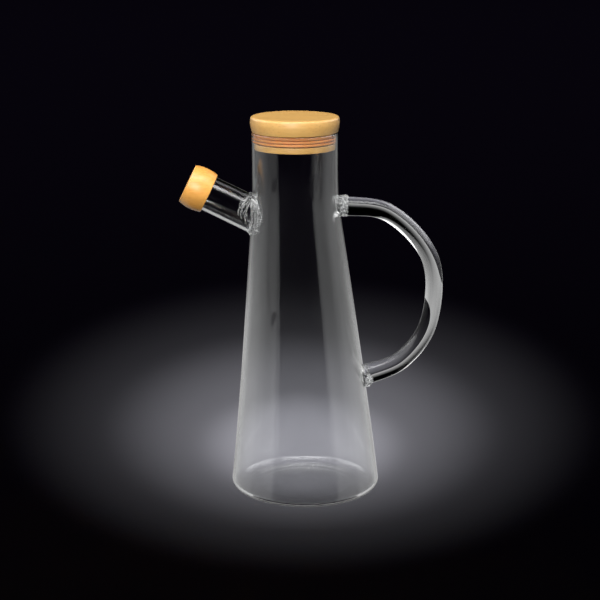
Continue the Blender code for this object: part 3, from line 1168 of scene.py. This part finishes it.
def soft_screen():
    """Curved soft screen round the bottle, open towards the camera, seen only by reflections.

    It glows by azimuth from the camera's side and by height: pale low down, dimmer at the
    height of the bottle, bright above it.
    """
    angle = np.radians(np.linspace(-360.0, 0.0, 181))
    heights = np.array([SCREEN_LOW, SCREEN_HIGH])
    points = np.empty((2, len(angle), 3))
    points[..., 0] = SCREEN_RADIUS * np.sin(angle)
    points[..., 1] = -SCREEN_RADIUS * np.cos(angle)
    points[..., 2] = heights[:, None]
    count = len(angle)
    first = np.arange(count - 1)
    quads = np.stack([first, first + 1, first + 1 + count, first + count], 1)
    mesh = bpy.data.meshes.new("soft_screen")
    mesh.from_pydata(points.reshape(-1, 3).tolist(), [], quads.tolist())
    screen = bpy.data.objects.new("soft_screen", mesh)
    bpy.context.scene.collection.objects.link(screen)
    mesh.materials.append(glowing_screen())
    screen.visible_camera = False
    screen.visible_diffuse = False
    screen.visible_shadow = False
    screen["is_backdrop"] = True
    return screen


def glowing_screen():
    """Light of the soft screen: shown to reflections and to rods of glass, else clear."""
    material, tree, output = new_material("soft_screen_light")
    place = add_node(tree, "ShaderNodeTexCoord").outputs["Object"]
    parts = add_node(tree, "ShaderNodeSeparateXYZ", {0: place})
    side = add_node(tree, "ShaderNodeMath", {0: parts.outputs["X"]}, operation="ABSOLUTE")
    front = add_node(tree, "ShaderNodeMath", {0: parts.outputs["Y"], 1: -1.0}, operation="MULTIPLY")
    azimuth = add_node(
        tree, "ShaderNodeMath", {0: side.outputs[0], 1: front.outputs[0]}, operation="ARCTAN2"
    )
    share = add_node(tree, "ShaderNodeMath", {0: azimuth.outputs[0], 1: np.pi}, operation="DIVIDE")
    level = None
    for stops, low, high in SCREEN_LEVELS:
        ramp = add_node(tree, "ShaderNodeValToRGB", {0: share.outputs[0]})
        set_ramp(ramp.color_ramp, stops)
        if level is None:
            level = ramp.outputs["Color"]
            continue
        blend = add_node(
            tree,
            "ShaderNodeMapRange",
            {"Value": parts.outputs["Z"], "From Min": low, "From Max": high},
            interpolation_type="SMOOTHSTEP",
        )
        mixed = add_node(
            tree,
            "ShaderNodeMix",
            {0: blend.outputs["Result"], 6: level, 7: ramp.outputs["Color"]},
            data_type="RGBA",
        )
        level = mixed.outputs[2]
    glow = add_node(tree, "ShaderNodeEmission", {"Color": level, "Strength": SCREEN_STRENGTH})
    clear = add_node(tree, "ShaderNodeBsdfTransparent")
    path = add_node(tree, "ShaderNodeLightPath")
    reflected = add_node(
        tree, "ShaderNodeMath", {0: path.outputs["Glossy Depth"], 1: 0.5}, operation="GREATER_THAN"
    )
    rod = add_node(
        tree,
        "ShaderNodeMath",
        {0: path.outputs["Transmission Depth"], 1: 2.0, 2: 0.5},
        operation="COMPARE",
    )
    seen = add_node(
        tree, "ShaderNodeMath", {0: reflected.outputs[0], 1: rod.outputs[0]}, operation="MAXIMUM"
    )
    shown = add_node(
        tree,
        "ShaderNodeMixShader",
        {0: seen.outputs[0], 1: clear.outputs["BSDF"], 2: glow.outputs["Emission"]},
    )
    tree.links.new(shown.outputs["Shader"], output.inputs["Surface"])
    return material


def set_ramp(ramp, stops):
    """Fill a colour ramp with grey levels at azimuths in degrees from the camera's side."""
    while len(ramp.elements) > 1:
        ramp.elements.remove(ramp.elements[-1])
    for index, (azimuth, level) in enumerate(stops):
        place = azimuth / 180.0
        element = ramp.elements[0] if index == 0 else ramp.elements.new(place)
        element.position = place
        element.color = (level, level, level, 1.0)


class OILBOTTLE_PT_panel(bpy.types.Panel):
    """Sidebar panel with the bottle's builders"""

    bl_label = "Oil Bottle"
    bl_idname = "OILBOTTLE_PT_panel"
    bl_space_type = "VIEW_3D"
    bl_region_type = "UI"
    bl_category = "Oil Bottle"

    def draw(self, context):
        layout = self.layout
        for operator in OPERATORS:
            layout.operator(operator.bl_idname)


GROUPS = {
    "oil_bottle_glass": GlassSettings,
    "oil_bottle_bamboo": BambooSettings,
    "oil_bottle_seal": SealSettings,
    "oil_bottle_studio": StudioSettings,
}
OPERATORS = (
    OILBOTTLE_OT_glass,
    OILBOTTLE_OT_lid,
    OILBOTTLE_OT_seal,
    OILBOTTLE_OT_cap,
    OILBOTTLE_OT_stage,
)


def register():
    for name, group in GROUPS.items():
        bpy.utils.register_class(group)
        setattr(bpy.types.Scene, name, PointerProperty(type=group))
    for kind in (*OPERATORS, OILBOTTLE_PT_panel):
        bpy.utils.register_class(kind)


def unregister():
    for kind in (OILBOTTLE_PT_panel, *reversed(OPERATORS)):
        bpy.utils.unregister_class(kind)
    for name, group in GROUPS.items():
        delattr(bpy.types.Scene, name)
        bpy.utils.unregister_class(group)


def main():
    register()
    bpy.ops.oil_bottle.glass()
    bpy.ops.oil_bottle.lid()
    bpy.ops.oil_bottle.seal()
    bpy.ops.oil_bottle.cap()
    bpy.ops.oil_bottle.stage()


if __name__ == "__main__":
    main()
